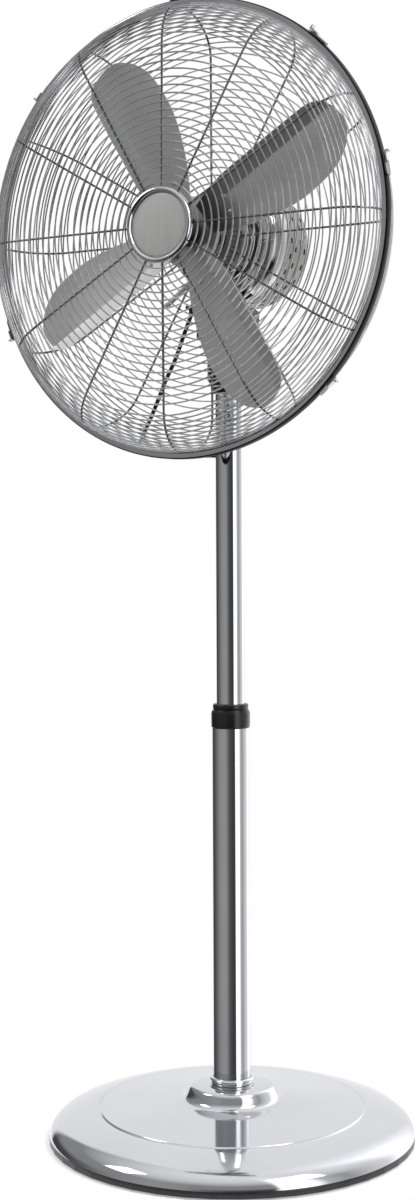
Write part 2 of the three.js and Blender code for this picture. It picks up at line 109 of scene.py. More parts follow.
# ---------------------------------------------------------------- materials
class Nodes:
    """A short way to build one material's node tree."""

    def __init__(self, name):
        self.material = bpy.data.materials.new(name)
        self.material.use_nodes = True
        self.tree = self.material.node_tree
        self.shader = self.tree.nodes["Principled BSDF"]
        self.place = self.add("ShaderNodeTexCoord").outputs["Object"]

    def add(self, kind, **settings):
        node = self.tree.nodes.new(kind)
        for key, value in settings.items():
            setattr(node, key, value)
        return node

    def link(self, a, b):
        self.tree.links.new(a, b)

    def noise(self, scale, detail=3.0, stretch=(1, 1, 1)):
        mapping = self.add("ShaderNodeMapping")
        mapping.inputs["Scale"].default_value = stretch
        self.link(self.place, mapping.inputs["Vector"])
        noise = self.add("ShaderNodeTexNoise")
        noise.inputs["Scale"].default_value = scale
        noise.inputs["Detail"].default_value = detail
        self.link(mapping.outputs["Vector"], noise.inputs["Vector"])
        return noise.outputs["Fac"]

    def ramp(self, value, stops):
        node = self.add("ShaderNodeValToRGB")
        elements = node.color_ramp.elements
        while len(elements) < len(stops):
            elements.new(0.5)
        for element, (at, color) in zip(elements, stops):
            element.position = at
            element.color = (*color, 1) if hasattr(color, "__len__") else (color, color, color, 1)
        self.link(value, node.inputs["Fac"])
        return node.outputs["Color"]

    def span(self, value, low, high):
        node = self.add("ShaderNodeMapRange")
        node.inputs["From Min"].default_value = 0.3
        node.inputs["From Max"].default_value = 0.7
        node.inputs["To Min"].default_value = low
        node.inputs["To Max"].default_value = high
        self.link(value, node.inputs["Value"])
        return node.outputs["Result"]

    def bump(self, height, strength, distance):
        node = self.add("ShaderNodeBump")
        node.inputs["Strength"].default_value = strength
        node.inputs["Distance"].default_value = distance
        self.link(height, node.inputs["Height"])
        self.link(node.outputs["Normal"], self.shader.inputs["Normal"])


def metal(name, dark, light, rough, grain=90.0, stretch=(1, 1, 1), bump=0.0):
    """A bare or plated metal: its tone and its roughness drift with fine noise."""
    n = Nodes(name)
    tone = n.noise(grain, 4, stretch)
    n.link(n.ramp(tone, [(0.3, dark), (0.7, light)]), n.shader.inputs["Base Color"])
    n.link(n.span(n.noise(grain * 0.4, 2, stretch), *rough), n.shader.inputs["Roughness"])
    n.shader.inputs["Metallic"].default_value = 1
    if bump:
        n.bump(tone, bump, 0.0002)
    return n.material


def plastic(name, dark, light, rough, grain=600.0, bump=0.15):
    """Moulded plastic or rubber with a fine grain."""
    n = Nodes(name)
    n.link(n.ramp(n.noise(35, 3), [(0.3, dark), (0.7, light)]), n.shader.inputs["Base Color"])
    n.link(n.span(n.noise(80, 2), *rough), n.shader.inputs["Roughness"])
    n.bump(n.noise(grain, 2), bump, 0.0001)
    return n.material


CHROME = metal("chrome", (0.66, 0.67, 0.69), (0.71, 0.72, 0.74), (0.03, 0.06), 14)
BASE_CHROME = metal("base_chrome", (0.63, 0.64, 0.665), (0.67, 0.68, 0.705), (0.05, 0.09), 10)
MOTOR_CHROME = metal("motor_chrome", (0.36, 0.35, 0.335), (0.43, 0.42, 0.405), (0.04, 0.08), 14)
WIRE_CHROME = metal("wire_chrome", (0.58, 0.58, 0.59), (0.68, 0.69, 0.70), (0.05, 0.09), 60)
# the spokes' chrome is the wires' chrome made darker: painted shade, for the spokes lying behind the rings
SPOKE_SHADED_CHROME = metal("spoke_chrome_painted_shade", (0.16, 0.16, 0.16), (0.24, 0.24, 0.24), (0.10, 0.16), 60)
HOOP_METAL = metal("hoop_metal", (0.46, 0.46, 0.48), (0.56, 0.56, 0.58), (0.10, 0.16), 25)
HOOP_DARK = metal("hoop_dark", (0.005, 0.005, 0.005), (0.012, 0.012, 0.012), (0.45, 0.55), 25)
MOTOR_REAR = metal("motor_rear_chrome", (0.12, 0.117, 0.11), (0.16, 0.157, 0.148), (0.06, 0.10), 14)
NUT_GREY = plastic("nut_grey", (0.13, 0.13, 0.125), (0.18, 0.18, 0.17), (0.25, 0.36), 500, 0.1)
BLADE_METAL = metal("blade_metal", (0.60, 0.60, 0.59), (0.65, 0.65, 0.635), (0.28, 0.33), 700, bump=0.015)
HUB_METAL = metal("hub_metal", (0.58, 0.59, 0.54), (0.66, 0.67, 0.62), (0.42, 0.52), 40)
CLIP_METAL = metal("clip_metal", (0.12, 0.12, 0.12), (0.19, 0.19, 0.19), (0.22, 0.34), 120)
BADGE_FACE = metal(
    "badge_face", (0.70, 0.695, 0.68), (0.76, 0.755, 0.74), (0.38, 0.5), 900, stretch=(1, 1, 0.03), bump=0.06
)
STEEL = metal("steel", (0.42, 0.42, 0.42), (0.56, 0.56, 0.56), (0.22, 0.34), 120)
IRON = metal("iron", (0.05, 0.05, 0.055), (0.09, 0.09, 0.095), (0.45, 0.6), 300, bump=0.4)
BLACK = plastic("black_plastic", (0.006, 0.006, 0.007), (0.012, 0.012, 0.013), (0.22, 0.34))
RUBBER = plastic("rubber", (0.010, 0.010, 0.010), (0.018, 0.018, 0.018), (0.55, 0.7), 400, 0.3)


# The frame's nodes that stay visible: what isn't named here and isn't a foot pad is steel.
IRON_NODES = {"base_weight", "swing_fork", "stator"}
BLACK_NODES = {
    "base_edge_ring", "guide_bush", "slide_plug", "neck_socket", "control_housing", "speed_switch",
    "tilt_knob", "blade_nut", "badge_clamp", "lead_gland", "pole_grommet",
}


def frame_look(name):
    """The material of a frame node."""
    if name.startswith("foot_pad"):
        return RUBBER
    if name in IRON_NODES:
        return IRON
    return BLACK if name in BLACK_NODES else STEEL


def paint_frame():
    """Gives every node of the frame its material."""
    for name, node in frame["nodes"].items():
        if not node.material_slots:
            node.data.materials.append(frame_look(name))
        for holder in node.material_slots:
            holder.material = frame_look(name)


paint_frame()


# ---------------------------------------------------------------- mesh helpers
def new_object(name, mesh, material, body, nodes=()):
    """A piece from a mesh, with its material or materials, its body and the nodes it replaces."""
    if isinstance(mesh, bmesh.types.BMesh):
        data = bpy.data.meshes.new(name)
        mesh.to_mesh(data)
        mesh.free()
        mesh = data
    obj = bpy.data.objects.new(name, mesh)
    bpy.context.scene.collection.objects.link(obj)
    materials = material if isinstance(material, (list, tuple)) else [material]
    for m in materials:
        mesh.materials.append(m)
    if body:
        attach(obj, body)
    if nodes:
        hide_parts(*nodes)
    return obj


def smooth(obj, angle=35):
    """Smooth shading, with edges sharper than the angle in degrees kept."""
    data = obj.data
    data.shade_smooth()
    data.set_sharp_from_angle(angle=math.radians(angle))
    return obj


def lathe(profile, segments, to_world=None, closed=True):
    """A profile of (radius, height) points turned about Z; a closed profile makes a ring."""
    bm = bmesh.new()
    rows = []
    for radius, height in profile:
        if radius == 0:
            rows.append([bm.verts.new((0, 0, height))])
            continue
        rows.append([
            bm.verts.new((radius * math.cos(t), radius * math.sin(t), height))
            for t in (2 * math.pi * i / segments for i in range(segments))
        ])
    pairs = list(zip(rows, rows[1:]))
    if closed and len(rows[0]) > 1 and len(rows[-1]) > 1:
        pairs.append((rows[-1], rows[0]))
    for a, b in pairs:
        for i in range(segments):
            j = (i + 1) % segments
            face = [a[i % len(a)], a[j % len(a)], b[j % len(b)], b[i % len(b)]]
            unique = list(dict.fromkeys(face))
            if len(unique) > 2:
                bm.faces.new(unique)
    bmesh.ops.recalc_face_normals(bm, faces=bm.faces)
    if to_world is not None:
        bmesh.ops.transform(bm, matrix=to_world, verts=bm.verts)
    return bm


UP = Vector((0, 0, 1))


def tube_into(bm, points, radius, sides=6, closed=False, up=UP):
    """Adds a round wire along the points. up is a direction that the wire doesn't run along."""
    points = [Vector(p) for p in points]
    count = len(points)
    rings = []
    for i, p in enumerate(points):
        before = points[i - 1] if (i > 0 or closed) else p
        after = points[(i + 1) % count] if (i < count - 1 or closed) else p
        along = (after - before).normalized()
        side = along.cross(up)
        if side.length < 1e-4:
            side = along.cross(Vector((1, 0, 0)))
        side.normalize()
        other = along.cross(side)
        rings.append([
            bm.verts.new(p + radius * (math.cos(t) * side + math.sin(t) * other))
            for t in (2 * math.pi * k / sides for k in range(sides))
        ])
    pairs = list(zip(rings, rings[1:]))
    if closed:
        pairs.append((rings[-1], rings[0]))
    for a, b in pairs:
        for k in range(sides):
            m = (k + 1) % sides
            bm.faces.new((a[k], a[m], b[m], b[k]))
    if not closed:
        bm.faces.new(list(reversed(rings[0])))
        bm.faces.new(rings[-1])
    return bm


def catmull(points, steps):
    """Points on a smooth curve through the given ones, the same kind of curve as the frame's."""
    pts = [Vector(p) for p in points]
    ends = [2 * pts[0] - pts[1], *pts, 2 * pts[-1] - pts[-2]]
    out = []
    for i in range(1, len(ends) - 2):
        p0, p1, p2, p3 = ends[i - 1:i + 3]
        d1 = max((p1 - p0).length ** 0.5, 1e-4)
        d2 = max((p2 - p1).length ** 0.5, 1e-4)
        d3 = max((p3 - p2).length ** 0.5, 1e-4)
        t1 = ((p1 - p0) / d1 - (p2 - p0) / (d1 + d2) + (p2 - p1) / d2) * d2
        t2 = ((p2 - p1) / d2 - (p3 - p1) / (d2 + d3) + (p3 - p2) / d3) * d2
        for k in range(steps):
            t = k / steps
            out.append(
                p1 + t1 * t + (-3 * p1 + 3 * p2 - 2 * t1 - t2) * t * t + (2 * p1 - 2 * p2 + t1 + t2) * t ** 3
            )
    out.append(pts[-1])
    return out


# ---------------------------------------------------------------- the lead
LEAD_ROUTE = [
    (-0.0423, -0.0029, 0.8333), (-0.0500, -0.0050, 0.8130), (-0.0590, -0.0070, 0.7890),
    (-0.0710, -0.0080, 0.7660), (-0.0810, -0.0080, 0.7450), (-0.0915, -0.0060, 0.7270),
    (-0.1040, 0.0020, 0.7145), (-0.1155, 0.0140, 0.7070), (-0.1235, 0.0270, 0.7010),
    (-0.1255, 0.0410, 0.6980), (-0.1205, 0.0500, 0.6960), (-0.1120, 0.0560, 0.6940),
    (-0.1020, 0.0568, 0.6930), (-0.0900, 0.0515, 0.6930), (-0.0680, 0.0395, 0.6920),
    (-0.0460, 0.0265, 0.6920), (-0.0216, 0.01245, 0.6910),
]


LEAD_RADIUS = 0.0021


def add_lead():
    path = catmull(LEAD_ROUTE, 8)
    bm = tube_into(bmesh.new(), path, LEAD_RADIUS, 14)
    lead = smooth(new_object("lead_cable", bm, RUBBER, None, ["lead"]))
    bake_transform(lead)


add_lead()


# ---------------------------------------------------------------- wire guards
SPOKES = 12
SPOKE_RADIUS = 0.0011  # of the wires themselves
RING_RADIUS = 0.00085
SPOKE_SHIFT = 0.0018  # how far the spokes lie inside the rings
RING_PITCH = 0.0075
FLAT_END = 0.174  # the radius at which a grille's flat face turns into its side wall
RIM_RADIUS = 0.2125


def wire_ring(bm, radius, y):
    segments = 120
    points = [
        Vector((radius * math.cos(t), y, FAN_HEIGHT + radius * math.sin(t)))
        for t in (2 * math.pi * i / segments for i in range(segments))
    ]
    tube_into(bm, points, RING_RADIUS, closed=True, up=Vector((0, 1, 0)))


def along_profile(profile, radius):
    """The guard's y at a radius."""
    radii = [p[0] for p in profile]
    return float(np.interp(radius, radii, [p[1] for p in profile]))


def add_guard(name, profile, ring_spots, spoke_start, depth, node):
    """One half of the cage: concentric round wires laid on spokes of a thicker wire.
    depth moves the spokes from the rings into the cage, along Y."""
    bm = bmesh.new()
    for radius, y in ring_spots:
        wire_ring(bm, radius, y)
    ring_faces = len(bm.faces)
    inside = [p for p in profile if p[0] >= spoke_start]
    start = (spoke_start, along_profile(profile, spoke_start))
    for k in range(SPOKES):
        turn = 2 * math.pi * k / SPOKES
        points = [
            Vector((r * math.cos(turn), y + depth, FAN_HEIGHT + r * math.sin(turn)))
            for r, y in [start, *inside]
        ]
        tube_into(bm, points, SPOKE_RADIUS, up=Vector((-math.sin(turn), 0, math.cos(turn))))
    # the spokes get the darker chrome, which is painted shade
    for index, face in enumerate(bm.faces):
        face.material_index = int(index >= ring_faces)
    smooth(new_object(name, bm, [WIRE_CHROME, SPOKE_SHADED_CHROME], "head", [node]), 60)


def arc(start, end, steps):
    """A quarter ellipse between two (radius, y) spots, which sets off along the radius."""
    (r0, y0), (r1, y1) = start, end
    out = []
    for i in range(steps + 1):
        t = i / steps * math.pi / 2
        out.append((r0 + (r1 - r0) * math.sin(t), y0 + (y1 - y0) * (1 - math.cos(t))))
    return out


# (radius, y) from the centre to the rim
FRONT_PROFILE = [(0.036, -0.1262), (0.172, -0.1250), *arc((0.176, -0.1248), (RIM_RADIUS, -0.0925), 9)]
REAR_PROFILE = [(0.024, -0.0312), (0.172, -0.0316), *arc((0.176, -0.0318), (RIM_RADIUS, -0.0835), 12)]


def even_spots(profile, start, wall_count):
    """Ring spots: an even pitch over the flat face, then evenly along the side wall."""
    spots = []
    radius = start
    while radius < FLAT_END:
        spots.append((radius, along_profile(profile, radius)))
        radius += RING_PITCH
    wall = [p for p in profile if p[0] >= FLAT_END]
    lengths = [0.0]
    for a, b in zip(wall, wall[1:]):
        lengths.append(lengths[-1] + math.hypot(b[0] - a[0], b[1] - a[1]))
    for i in range(wall_count):
        at = lengths[-1] * (i + 0.6) / wall_count
        spots.append(tuple(float(np.interp(at, lengths, [p[axis] for p in wall])) for axis in (0, 1)))
    return spots


FRONT_SPOTS = even_spots(FRONT_PROFILE, 0.0405, 12)
REAR_SPOTS = even_spots(REAR_PROFILE, 0.0395, 13)
add_guard("front_grille", FRONT_PROFILE, FRONT_SPOTS, 0.034, SPOKE_SHIFT, "front_guard")
add_guard("rear_grille", REAR_PROFILE, REAR_SPOTS, 0.0335, -SPOKE_SHIFT, "rear_guard")


def add_guard_centre():
    """The rear grille's stamped centre washer, held between the motor's shoulder and the nut."""
    bore, back, front = 0.0222, 0.0284, 0.0310
    profile = [
        (bore, back), (0.0375, back), (0.0385, 0.0294), (0.0385, 0.0306), (0.0340, front), (bore, front),
    ]
    washer = new_object("grille_washer", lathe(profile, 64, HEAD), CHROME, "head")
    smooth(washer)


add_guard_centre()


def add_hoop():
    """The clamp hoop: a thin channel rolled round both rims."""
    outer, inner, half_width = HOOP_RADIUS, 0.2128, 0.0049
    front, back = -RIM + half_width, -RIM - half_width
    profile = [
        (inner, back), (outer - 0.0012, back), (outer - 0.0004, back + 0.0004), (outer, back + 0.0012),
        (outer, front - 0.0012), (outer - 0.0004, front - 0.0004), (outer - 0.0012, front), (inner, front),
        (inner, front - 0.0010), (outer - 0.0018, front - 0.0011), (outer - 0.0018, back + 0.0011),
        (inner, back + 0.0010),
    ]
    mesh = lathe(profile, 160, HEAD)
    for face in mesh.faces:  # its outside and its back are dark
        spot = face.calc_center_median()
        if spot.y > RIM + 0.004 or math.hypot(spot.x, spot.z - FAN_HEIGHT) > outer - 0.0009:
            face.material_index = 1
    smooth(new_object("clamp_hoop", mesh, [HOOP_METAL, HOOP_DARK], "head", ["hoop"]))


add_hoop()


CLIP_SIZE = (0.0225, 0.0090, 0.0015)  # along the hoop, across it and outward
CLIP_LIFT = 0.0012  # its middle, above the hoop


def add_clips():
    """The plates of the six spring clips on the hoop, each with its rivet."""
    for number, angle in enumerate(CLIP_ANGLES, 1):
        turn = math.radians(angle)
        out = Vector((math.cos(turn), 0, math.sin(turn)))
        along = Vector((-math.sin(turn), 0, math.cos(turn)))
        centre = Vector((0, RIM, FAN_HEIGHT)) + out * (HOOP_RADIUS + CLIP_LIFT)
        to_hoop = Matrix((along, Vector((0, -1, 0)), out)).transposed().to_4x4()
        to_hoop.translation = centre
        bm = bmesh.new()
        bmesh.ops.create_cube(bm, size=1)
        bmesh.ops.scale(bm, vec=CLIP_SIZE, verts=bm.verts)
        long_edges = [e for e in bm.edges if abs(e.verts[0].co.x - e.verts[1].co.x) > CLIP_SIZE[0] / 2]
        bmesh.ops.subdivide_edges(bm, edges=long_edges, cuts=6)
        for v in bm.verts:  # bent round the hoop, its two ends narrower
            v.co.z -= v.co.x ** 2 / (2 * HOOP_RADIUS)
            if abs(v.co.x) > 0.48 * CLIP_SIZE[0]:
                v.co.y *= 0.72
        bmesh.ops.bevel(bm, geom=bm.edges, offset=0.0003, segments=2, affect="EDGES", clamp_overlap=True)
        base, crown, height = 0.0026, 0.0018, 0.0009
        rivet = bmesh.ops.create_cone(
            bm, segments=16, radius1=base, radius2=crown, depth=height, cap_ends=True
        )
        bmesh.ops.translate(bm, vec=(0.0055, 0, height), verts=rivet["verts"])
        bmesh.ops.transform(bm, matrix=to_hoop, verts=bm.verts)
        smooth(new_object(f"clip_plate_{number}", bm, [CLIP_METAL], "head", [f"clip_{number}"]))


add_clips()


# ---------------------------------------------------------------- blades
BLADE_PLANE = -0.079  # the y of the blades' roots
BLADE_TURNS = [math.radians(26 + 90 * number) for number in range(4)]
BLADE_EDGES = [  # the radius, then how far the leading and the trailing edge lie from it
    (0.022, 0.015, -0.014), (0.035, 0.0195, -0.019), (0.045, 0.0222, -0.0225), (0.060, 0.0255, -0.0273),
    (0.080, 0.0277, -0.032), (0.100, 0.0295, -0.035), (0.120, 0.0315, -0.036), (0.140, 0.033, -0.034),
    (0.155, 0.0342, -0.031), (0.165, 0.0346, -0.0275), (0.175, 0.0325, -0.0215), (0.182, 0.0275, -0.015),
    (0.1875, 0.0185, -0.007), (0.1907, 0.0075, -0.0005),
]
BLADE_FOLD_ANGLE = math.radians(17)
BLADE_THICKNESS = 0.0011
BLADE_SPAN = (0.035, 0.191)  # the radii between which the pitch falls evenly
BLADE_PITCH = (8, 5)  # degrees, at those radii
CUP_DEPTH, CUP_WIDTH = 0.0010, 0.035
RIVET_PITCH = math.tan(math.radians(7.7))  # the blade's slope at its rivets
RIVET_RADIUS, RIVET_PLACE = 0.0027, 0.050


def blade_mesh(start_angle):
    """One pressed blade: slightly pitched, its leading strip folded forward along a straight line."""
    leading = catmull([(radius, lead, 0) for radius, lead, _ in BLADE_EDGES], 4)
    trailing = catmull([(radius, trail, 0) for radius, _, trail in BLADE_EDGES], 4)
    flat, strip = 14, 5  # columns of faces behind the fold and on the strip
    columns, rows = flat + strip, len(leading) - 1
    bm = bmesh.new()

    def point(side, i, j):
        crease = min(0.0041 + 0.1 * leading[i].x, leading[i].y - 0.0012)  # where the blade is folded
        if j <= flat:
            share = j / flat
            chord = trailing[i].y + (crease - trailing[i].y) * share
        else:
            share = 1
            chord = crease + (leading[i].y - crease) * (j - flat) / strip
        radius = trailing[i].x + (leading[i].x - trailing[i].x) * share
        outward = (radius - BLADE_SPAN[0]) / (BLADE_SPAN[1] - BLADE_SPAN[0])
        pitch = math.radians(BLADE_PITCH[0] + (BLADE_PITCH[1] - BLADE_PITCH[0]) * outward)
        cup = CUP_DEPTH * ((chord / CUP_WIDTH) ** 2 - 0.3)
        rise = chord * math.tan(pitch) + max(chord - crease, 0) * math.tan(BLADE_FOLD_ANGLE) + cup
        return Vector((radius, chord, -BLADE_PLANE + rise + side * BLADE_THICKNESS / 2))

    grid = {
        side: [[bm.verts.new(point(side, i, j)) for j in range(columns + 1)] for i in range(rows + 1)]
        for side in (1, -1)
    }
    for g in grid.values():
        for i in range(rows):
            for j in range(columns):
                bm.faces.new((g[i][j], g[i + 1][j], g[i + 1][j + 1], g[i][j + 1]))
    a, b = grid[1], grid[-1]
    border = [(i, 0) for i in range(rows + 1)] + [(rows, j) for j in range(1, columns + 1)]
    border += [(i, columns) for i in range(rows - 1, -1, -1)] + [(0, j) for j in range(columns - 1, 0, -1)]
    for (i, j), (k, m) in zip(border, border[1:] + border[:1]):
        bm.faces.new((a[i][j], b[i][j], b[k][m], a[k][m]))
    bmesh.ops.recalc_face_normals(bm, faces=bm.faces)
    for spot in (-0.0075, 0.0085):  # two rivets hold the blade's root to the hub's arm
        rivet = bmesh.ops.create_uvsphere(bm, u_segments=14, v_segments=8, radius=RIVET_RADIUS)
        for v in rivet["verts"]:
            v.co.z *= 0.55
            v.co += Vector((RIVET_PLACE, spot, -BLADE_PLANE + spot * RIVET_PITCH + 0.0004))
    bmesh.ops.rotate(bm, verts=bm.verts, matrix=Matrix.Rotation(start_angle, 3, "Z"))
    bmesh.ops.transform(bm, matrix=HEAD, verts=bm.verts)
    return bm


for number, turn in enumerate(BLADE_TURNS, 1):
    name, node = f"fan_blade_{number}", f"blade_{number}"
    smooth(new_object(name, blade_mesh(turn), BLADE_METAL, "rotor", [node]), 11)


ARM_SIZE = (0.034, 0.030, 0.0014)
ARM_MIDDLE = 0.040


def add_hub():
    """The hub: a turned boss with a dished plate and four arms that the blades' roots are riveted to."""
    plane = -BLADE_PLANE
    back = plane - 0.008
    bore = 0.0043
    profile = [
        (bore, back - 0.014), (0.012, back - 0.014), (0.013, back - 0.013), (0.014, back),
        (0.0340, plane - 0.0040), (0.0345, plane - 0.0034), (0.0342, plane - 0.0022),
        (0.0330, plane - 0.0018), (0.0200, plane - 0.0024), (0.0150, plane - 0.0023),
        (0.0130, plane - 0.0021), (0.0034, plane - 0.002), (bore, plane - 0.0022),
    ]
    bm = lathe(profile, 64)
    for turn in BLADE_TURNS:
        made = bmesh.ops.create_cube(bm, size=1)["verts"]
        bmesh.ops.scale(bm, vec=ARM_SIZE, verts=made)
        for v in made:  # an arm is narrower outward and pitched like its blade
            if v.co.x > 0:
                v.co.y *= 0.7
            v.co.z += v.co.y * RIVET_PITCH
        bmesh.ops.translate(bm, vec=(ARM_MIDDLE, 0, plane - 0.0015), verts=made)
        bmesh.ops.rotate(bm, verts=made, matrix=Matrix.Rotation(turn, 3, "Z"))
    bmesh.ops.transform(bm, matrix=HEAD, verts=bm.verts)
    smooth(new_object("hub_plate", bm, HUB_METAL, "rotor", ["blade_hub"]))


add_hub()


# ---------------------------------------------------------------- badge
def add_badge():
    """The bright ring and the satin face at the centre of the front grille."""
    back = round(-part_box("badge_ring")[1].y, 4)
    ring = [
        (0.0306, back), (0.0352, back), (0.0358, back + 0.0006), (0.0360, back + 0.0028),
        (0.0352, back + 0.0047), (0.0338, back + 0.0057), (0.0326, back + 0.0058), (0.0316, back + 0.0052),
        (0.0309, back + 0.0040), (0.0306, back + 0.0033),
    ]
    smooth(new_object("badge_bezel", lathe(ring, 96, HEAD), CHROME, "head", ["badge_ring"]))
    plate = [
        (0, back), (0.0303, back), (0.0303, back + 0.0024), (0.0296, back + 0.0029),
        (0.0280, back + 0.0030), (0.0150, back + 0.0033), (0, back + 0.0034),
    ]
    face = lathe(plate, 96, HEAD, closed=False)
    smooth(new_object("badge_face", face, BADGE_FACE, "head", ["badge_plate"]))


add_badge()


# ---------------------------------------------------------------- motor
MOTOR_RADIUS = 0.061
MOTOR_SPLIT = -0.012  # where the two shells meet; heights run toward the front
MOTOR_WALL = 0.0024
VENT_ROWS = ((0.020, 0.0), (0.029, 0.5), (0.038, 0.0), (0.047, 0.5))  # the y, and the shift in slots
VENTS_IN_ROW = 24
VENT_SIZE = (0.012, 0.0052, 0.0030)
PULL_HOLE_RADIUS = 0.0034
PULL_TURN = math.radians(-142)  # round the motor, to the rod that stops the swing


def carve(obj, cutter):
    """Cuts the cutter's shape out of a piece that is still upright, then puts the piece on the head."""
    tool = new_object("cutter", cutter, IRON, None)
    boolean = obj.modifiers.new("holes", "BOOLEAN")
    boolean.object = tool
    boolean.solver = "EXACT"
    done = bpy.data.meshes.new_from_object(obj.evaluated_get(bpy.context.evaluated_depsgraph_get()))
    obj.modifiers.clear()
    obj.data = done
    bpy.data.objects.remove(tool)
    done.transform(HEAD)
    smooth(obj)
    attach(obj, "head")


def add_motor_front():
    """The front shell and its neck, with the hole that the swing pull slides through."""
    wall, split, radius, front = MOTOR_WALL, MOTOR_SPLIT, MOTOR_RADIUS, 0.014
    shell = [
        (0.009, 0.046), (0.009, front - wall), (0.042, front - wall), (0.0505, front - 0.006),
        (0.0565, front - 0.013), (radius - wall, front - 0.022), (radius - wall, split + 0.0003),
        (radius - 0.0004, split + 0.0003), (radius, split + 0.0008),
    ]
    for i in range(1, 12):  # the rounded shoulder
        t = i / 12 * math.pi / 2
        shell.append((0.044 + 0.017 * math.cos(t), split + 0.004 + (front - split - 0.004) * math.sin(t)))
    shell += [
        (0.044, front), (0.0345, front), (0.034, front + 0.0005), (0.034, 0.0275), (0.0335, 0.028),
        (0.0215, 0.028), (0.0215, 0.0455), (0.021, 0.046),
    ]
    cover = new_object("motor_front", lathe(shell, 96), MOTOR_CHROME, None, ["motor_front_shell"])
    smooth(cover)
    hole = bmesh.new()
    bmesh.ops.create_cone(
        hole, segments=32, radius1=PULL_HOLE_RADIUS, radius2=PULL_HOLE_RADIUS, depth=0.04, cap_ends=True
    )
    bmesh.ops.transform(hole, matrix=Matrix.Rotation(math.pi / 2, 4, "Y"), verts=hole.verts)
    bmesh.ops.translate(hole, vec=(0.060, 0, -0.002), verts=hole.verts)
    bmesh.ops.rotate(hole, verts=hole.verts, matrix=Matrix.Rotation(PULL_TURN, 3, "Z"))
    carve(cover, hole)


def add_motor_rear():
    """The rear shell, with rows of vent slots round it."""
    wall, split, radius, back = MOTOR_WALL, MOTOR_SPLIT, MOTOR_RADIUS, -0.066
    rear = [(0, back)]
    for i in range(13):
        t = i / 12 * math.pi / 2
        rear.append((0.045 + 0.016 * math.sin(t), back + 0.016 * (1 - math.cos(t))))
    rear += [
        (radius, split - 0.0008), (radius - 0.0004, split - 0.0003), (radius - wall, split - 0.0003),
        (radius - wall, back + 0.016), (0.057, back + 0.0105), (0.0525, back + 0.0054),
        (0.0455, back + wall), (0, back + wall),
    ]
    bm = lathe(rear, 96, closed=False)
    motor = smooth(new_object("motor_rear", bm, [MOTOR_REAR, IRON], None, ["motor_rear_shell"]))
    cutter = bmesh.new()
    for y, shift in VENT_ROWS:
        for number in range(VENTS_IN_ROW):
            turn = 2 * math.pi * (number + shift) / VENTS_IN_ROW
            made = bmesh.ops.create_cube(cutter, size=1)
            bmesh.ops.scale(cutter, vec=VENT_SIZE, verts=made["verts"])
            bmesh.ops.translate(cutter, vec=(radius, 0, -y), verts=made["verts"])
            bmesh.ops.rotate(cutter, verts=made["verts"], matrix=Matrix.Rotation(turn, 3, "Z"))
    carve(motor, cutter)


add_motor_front()
add_motor_rear()


def add_guard_nut():
    """The ribbed plastic nut that holds the rear grille on the motor's neck."""
    bm = bmesh.new()
    ribs = 36
    bore = 0.0222
    outline = [
        (0.0313, 0.0305), (0.0400, 0.0300), (0.0426, 0.0285), (0.0433, 0.0265), (0.0433, bore),
        (0.0313, bore),
    ]
    rows = []
    for height, radius in outline:
        row = []
        for i in range(ribs * 4):
            t = 2 * math.pi * i / (ribs * 4)
            rib = 0.0005 if i % 4 < 2 else -0.0008
            r = radius if radius == bore else radius + rib
            row.append(bm.verts.new((r * math.cos(t), r * math.sin(t), height)))
        rows.append(row)
    for a, b in zip(rows, rows[1:] + rows[:1]):
        for i in range(len(a)):
            j = (i + 1) % len(a)
            bm.faces.new((a[i], a[j], b[j], b[i]))
    bmesh.ops.recalc_face_normals(bm, faces=bm.faces)
    bmesh.ops.transform(bm, matrix=HEAD, verts=bm.verts)
    smooth(new_object("grille_nut", bm, NUT_GREY, "head", ["guard_nut"]), 30)


add_guard_nut()


# ---------------------------------------------------------------- base and pole
SOCKET_RADIUS = 0.0192  # of the hole in the cover and the foot ring, round the lower tube


def add_base():
    """The domed cover, with its groove and its boss, as one smooth turned shell."""
    top = [
        (0.1850, 0.0063), (0.1849, 0.0085), (0.1838, 0.0125), (0.1812, 0.0165), (0.1770, 0.0203),
        (0.1710, 0.0237), (0.1630, 0.0266), (0.1540, 0.0292), (0.1450, 0.0311), (0.1370, 0.0324),
        (0.1361, 0.0323), (0.1354, 0.0318), (0.1347, 0.0321), (0.1336, 0.0333), (0.1200, 0.0345),
        (0.1000, 0.0362), (0.0800, 0.0380), (0.0620, 0.0396), (0.0560, 0.0401), (0.0520, 0.0406),
        (0.0490, 0.0418), (0.0470, 0.0438), (0.0456, 0.0466), (0.0444, 0.0498), (0.0434, 0.0524),
        (0.0422, 0.0540), (0.0406, 0.0550), (0.0380, 0.0556),
    ]
    under = [(SOCKET_RADIUS, 0.0562), (SOCKET_RADIUS, 0.0500), (0.0380, 0.0500)]
    under += [(r - 0.0003, z - 0.0020) for r, z in reversed(top[1:-1]) if z > 0.0102]  # 2 mm under the top
    under += [(0.1822, 0.0085), (0.1830, 0.0063)]
    mesh = lathe(top + under, 160)
    for face in mesh.faces:
        if face.calc_center_median().z < 0.0095:  # the rim's foot is dark
            face.material_index = 1
    smooth(new_object("base_dome", mesh, [BASE_CHROME, BLACK], "base", ["base_cover"]))


add_base()


def add_tube(name, wall, node, body):
    """A plain tube with its outer edges broken."""
    outer, bottom, top = turned_size(node)
    inner = outer - wall
    profile = [
        (inner, bottom), (outer - 0.0003, bottom), (outer, bottom + 0.0003), (outer, top - 0.0003),
        (outer - 0.0003, top), (inner, top),
    ]
    smooth(new_object(name, lathe(profile, 96), CHROME, body, [node]))


add_tube("lower_tube", 0.0015, "outer_tube", "base")
add_tube("upper_tube", 0.0013, "inner_tube", "mast")


